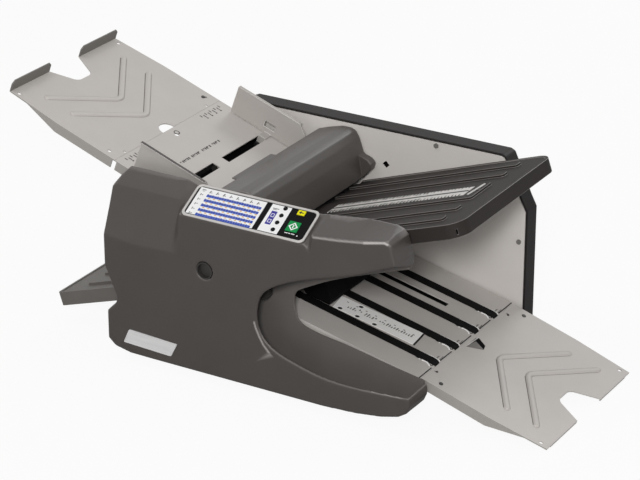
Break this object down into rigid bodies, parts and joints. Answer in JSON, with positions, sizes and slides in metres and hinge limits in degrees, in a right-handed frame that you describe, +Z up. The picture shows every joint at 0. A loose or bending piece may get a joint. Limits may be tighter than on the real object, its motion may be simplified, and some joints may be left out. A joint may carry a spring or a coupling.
{
  "type": "paper folding machine",
  "caption": "Desktop friction-feed paper folder with a sheet tray, two fold plates, a belt exit deck, a stacker tray and a control panel.",
  "frame": {"origin": "centre of the overall box, on the floor under the feet", "axes": "+X along the paper path towards the stacker tray, +Y from the control panel side to the far side, +Z up"},
  "size_m": [0.7636, 0.3296, 0.318],
  "materials": {
    "casing": "fine moulded texture",
    "fold_plate": "moulded",
    "panel_metal": "satin powder coat",
    "tray_metal": "satin powder coat",
    "guide_metal": "satin powder coat",
    "steel": "turned",
    "roller_rubber": "ground rubber",
    "belt_rubber": "flat belt",
    "foot_rubber": "matt",
    "gear_nylon": "moulded",
    "motor_steel": "painted can",
    "guard_black": "matt black",
    "scale_film": "printed aluminium strip",
    "bezel_grey": "satin",
    "panel_film": "printed sheet with chart, display and bars",
    "key_black": "domed",
    "key_yellow": "printed",
    "key_green": "printed",
    "badge_silver": "blank plate",
    "plug_grey": "matt",
    "board_green": "lacquered",
    "black_plastic": "fine",
    "pad_cork": "friction pad"
  },
  "bodies": {
    "frame": {"near_cover": "casing", "far_cover": "casing", "near_side_plate": "panel_metal", "far_side_plate": "panel_metal", "base_pan": "panel_metal", "tie_rods": "steel", "rubber_feet": "foot_rubber", "feed_table": "tray_metal", "feed_extension": "tray_metal", "separator_pad": "pad_cork", "separator_holder": "black_plastic", "hood_pins": "steel", "shaft_bearings": "steel", "motor": "motor_steel", "drive_belt": "belt_rubber", "exit_drive_belt": "belt_rubber", "feed_belt": "belt_rubber", "upper_fold_plate": "fold_plate", "lower_fold_plate": "fold_plate", "scale_strips": "scale_film", "exit_deck": "tray_metal", "exit_belts": "belt_rubber", "exit_guard": "guard_black", "stacker_tray": "tray_metal", "panel_bezel": "bezel_grey", "panel_face": "panel_film", "badge_plate": "badge_silver", "port_plug": "plug_grey", "control_board": "board_green", "case_screws": "steel", "power_inlet": "black_plastic", "switch_frame": "black_plastic"},
    "near_guide_set": {"near_guide": "guide_metal", "near_rack": "black_plastic"},
    "far_guide_set": {"far_guide": "guide_metal", "far_rack": "black_plastic"},
    "pinion": {"guide_pinion": "gear_nylon"},
    "hood": {"hood": "casing"},
    "feed_roller": {"feed_shaft": "steel", "feed_tyres": "roller_rubber"},
    "roller_one": {"fold_roller_one": "roller_rubber", "gear_one": "gear_nylon"},
    "roller_two": {"fold_roller_two": "roller_rubber", "gear_two": "gear_nylon"},
    "roller_three": {"fold_roller_three": "roller_rubber", "gear_three": "gear_nylon"},
    "roller_four": {"fold_roller_four": "roller_rubber", "gear_four": "gear_nylon"},
    "motor_pulley": {"motor_pulley": "steel"},
    "exit_drive": {"exit_drive_shaft": "steel"},
    "exit_idle": {"exit_end_rollers": "steel"},
    "upper_stop": {"upper_stop": "black_plastic"},
    "lower_stop": {"lower_stop": "black_plastic"},
    "button_1": {"button_1": "key_black"},
    "button_2": {"button_2": "key_black"},
    "button_3": {"button_3": "key_black"},
    "button_4": {"button_4": "key_black"},
    "jog_key": {"jog_key": "key_yellow"},
    "start_key": {"start_key": "key_green"},
    "rocker": {"power_rocker": "black_plastic"}
  },
  "joints": [
    {"name": "roller_two_spin", "type": "hinge", "parent": "frame", "child": "roller_two", "pos_m": [-0.02133, 0.0075, 0.1574], "axis": [0, 1, 0], "continuous": true},
    {"name": "roller_one_spin", "type": "hinge", "parent": "frame", "child": "roller_one", "pos_m": [-0.02133, 0.0075, 0.1838], "axis": [0, 1, 0], "continuous": true},
    {"name": "roller_three_spin", "type": "hinge", "parent": "frame", "child": "roller_three", "pos_m": [0.00507, 0.0075, 0.1574], "axis": [0, 1, 0], "continuous": true},
    {"name": "roller_four_spin", "type": "hinge", "parent": "frame", "child": "roller_four", "pos_m": [0.00507, 0.0075, 0.131], "axis": [0, 1, 0], "continuous": true},
    {"name": "feed_roller_spin", "type": "hinge", "parent": "frame", "child": "feed_roller", "pos_m": [-0.06334, 0.0075, 0.2046], "axis": [0, 1, 0], "continuous": true},
    {"name": "motor_spin", "type": "hinge", "parent": "frame", "child": "motor_pulley", "pos_m": [-0.11633, 0.0075, 0.161], "axis": [0, 1, 0], "continuous": true},
    {"name": "exit_drive_spin", "type": "hinge", "parent": "frame", "child": "exit_drive", "pos_m": [0.01269, 0.0075, 0.09436], "axis": [0, 1, 0], "continuous": true},
    {"name": "exit_idle_spin", "type": "hinge", "parent": "frame", "child": "exit_idle", "pos_m": [0.20569, 0.0075, 0.0498], "axis": [0, 1, 0], "continuous": true},
    {"name": "near_guide_slide", "type": "slide", "parent": "frame", "child": "near_guide_set", "axis": [0, 1, 0], "range_m": [0, 0.065]},
    {"name": "far_guide_slide", "type": "slide", "parent": "frame", "child": "far_guide_set", "axis": [0, 1, 0], "range_m": [-0.065, 0]},
    {"name": "pinion_spin", "type": "hinge", "parent": "frame", "child": "pinion", "pos_m": [-0.14087, 0.0075, 0.21644], "axis": [0.342, 0, 0.9397], "range_deg": [-466, 0]},
    {"name": "hood_hinge", "type": "hinge", "parent": "frame", "child": "hood", "pos_m": [0.00507, 0.0075, 0.2], "axis": [0, 1, 0], "range_deg": [0, 75]},
    {"name": "upper_stop_slide", "type": "slide", "parent": "frame", "child": "upper_stop", "axis": [0.9455, 0, 0.3256], "range_m": [-0.14, 0.03]},
    {"name": "lower_stop_slide", "type": "slide", "parent": "frame", "child": "lower_stop", "axis": [-0.9511, 0, -0.309], "range_m": [-0.14, 0.08]},
    {"name": "button_1_press", "type": "slide", "parent": "frame", "child": "button_1", "axis": [0, 0.4789, -0.8779], "range_m": [0, 0.0006], "stiffness_N_per_m": 900, "springref_m": -0.0006},
    {"name": "button_2_press", "type": "slide", "parent": "frame", "child": "button_2", "axis": [0, 0.4789, -0.8779], "range_m": [0, 0.0006], "stiffness_N_per_m": 900, "springref_m": -0.0006},
    {"name": "button_3_press", "type": "slide", "parent": "frame", "child": "button_3", "axis": [0, 0.4789, -0.8779], "range_m": [0, 0.0006], "stiffness_N_per_m": 900, "springref_m": -0.0006},
    {"name": "button_4_press", "type": "slide", "parent": "frame", "child": "button_4", "axis": [0, 0.4789, -0.8779], "range_m": [0, 0.0006], "stiffness_N_per_m": 900, "springref_m": -0.0006},
    {"name": "jog_key_press", "type": "slide", "parent": "frame", "child": "jog_key", "axis": [0, 0.4789, -0.8779], "range_m": [0, 0.0006], "stiffness_N_per_m": 900, "springref_m": -0.0006},
    {"name": "start_key_press", "type": "slide", "parent": "frame", "child": "start_key", "axis": [0, 0.4789, -0.8779], "range_m": [0, 0.0006], "stiffness_N_per_m": 900, "springref_m": -0.0006},
    {"name": "rocker_tip", "type": "hinge", "parent": "frame", "child": "rocker", "pos_m": [-0.09634, 0.159, 0.051], "axis": [0, 0, 1], "range_deg": [-16, 0]}
  ],
  "couplings": [
    {"joint": "roller_one_spin", "follows": "roller_two_spin", "ratio": -1},
    {"joint": "roller_three_spin", "follows": "roller_two_spin", "ratio": -1},
    {"joint": "roller_four_spin", "follows": "roller_two_spin", "ratio": 1},
    {"joint": "feed_roller_spin", "follows": "roller_two_spin", "ratio": -0.8},
    {"joint": "motor_spin", "follows": "roller_two_spin", "ratio": 3.25},
    {"joint": "exit_drive_spin", "follows": "roller_two_spin", "ratio": 1},
    {"joint": "exit_idle_spin", "follows": "roller_two_spin", "ratio": 1},
    {"joint": "far_guide_slide", "follows": "near_guide_slide", "ratio": -1},
    {"joint": "pinion_spin", "follows": "near_guide_slide", "rad_per_m": -125}
  ]
}
